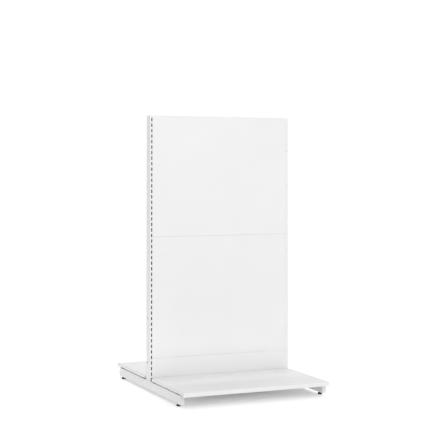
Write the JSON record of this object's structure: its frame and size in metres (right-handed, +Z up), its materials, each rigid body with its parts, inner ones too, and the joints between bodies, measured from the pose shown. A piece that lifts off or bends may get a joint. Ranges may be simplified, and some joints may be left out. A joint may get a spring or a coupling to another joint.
{
  "type": "gondola shelving unit",
  "caption": "Free-standing double-sided store gondola bay in white powder-coated steel: slotted uprights, flat back panels and a low base shelf on each side.",
  "frame": {"origin": "on the floor, at the middle of the bay's width and depth", "axes": "+Z up, X along the width, -Y towards the front shelf, the side drawn first; the slots on the upright at -X are open and those on the upright at +X are covered"},
  "size_m": [0.933, 1.156, 1.669],
  "materials": {
    "white_powder_coat": "satin powder coat with a very fine orange-peel texture",
    "white_plastic": "fine moulded texture",
    "black_plastic": "moulded",
    "zinc_steel": "bright zinc plate",
    "bare_steel": "uncoated, dark mill scale; also the inside of the tubes",
    "black_rubber": "matt"
  },
  "bodies": {
    "bay_frame": {"upright_left": "white_powder_coat", "upright_right": "white_powder_coat", "top_plug_left": "white_plastic", "top_plug_right": "white_plastic", "base_leg_left": "white_powder_coat", "base_leg_right": "white_powder_coat", "leg_spigots_left": "bare_steel", "leg_spigots_right": "bare_steel", "leg_cap_front_left": "white_plastic", "leg_cap_rear_left": "white_plastic", "leg_cap_front_right": "white_plastic", "leg_cap_rear_right": "white_plastic", "foot_nuts": "zinc_steel", "spigot_screws": "zinc_steel", "top_rail": "white_powder_coat", "middle_rail": "white_powder_coat", "lower_rail": "white_powder_coat", "bottom_rail": "white_powder_coat", "rail_bolts": "zinc_steel", "top_infill": "white_powder_coat", "front_upper_panel": "white_powder_coat", "front_lower_panel": "white_powder_coat", "front_base_panel": "white_powder_coat", "rear_upper_panel": "white_powder_coat", "rear_lower_panel": "white_powder_coat", "rear_base_panel": "white_powder_coat", "shelf_rest_pads": "black_rubber", "front_slot_cover": "white_powder_coat", "rear_slot_cover": "white_powder_coat", "slot_cover_screws": "zinc_steel"},
    "front_shelf": {"front_shelf_deck": "white_powder_coat", "front_shelf_stiffeners": "white_powder_coat"},
    "rear_shelf": {"rear_shelf_deck": "white_powder_coat", "rear_shelf_stiffeners": "white_powder_coat"},
    "foot_front_left": {"foot_front_left": "black_plastic"},
    "foot_rear_left": {"foot_rear_left": "black_plastic"},
    "foot_front_right": {"foot_front_right": "black_plastic"},
    "foot_rear_right": {"foot_rear_right": "black_plastic"}
  },
  "joints": [
    {"name": "front_shelf_lift", "type": "slide", "parent": "bay_frame", "child": "front_shelf", "axis": [0, 0, 1], "range_m": [0, 0.3]},
    {"name": "rear_shelf_lift", "type": "slide", "parent": "bay_frame", "child": "rear_shelf", "axis": [0, 0, 1], "range_m": [0, 0.3]},
    {"name": "front_left_foot_screw", "type": "slide", "parent": "bay_frame", "child": "foot_front_left", "axis": [0, 0, -1], "range_m": [0, 0.015]},
    {"name": "rear_left_foot_screw", "type": "slide", "parent": "bay_frame", "child": "foot_rear_left", "axis": [0, 0, -1], "range_m": [0, 0.015]},
    {"name": "front_right_foot_screw", "type": "slide", "parent": "bay_frame", "child": "foot_front_right", "axis": [0, 0, -1], "range_m": [0, 0.015]},
    {"name": "rear_right_foot_screw", "type": "slide", "parent": "bay_frame", "child": "foot_rear_right", "axis": [0, 0, -1], "range_m": [0, 0.015]}
  ]
}
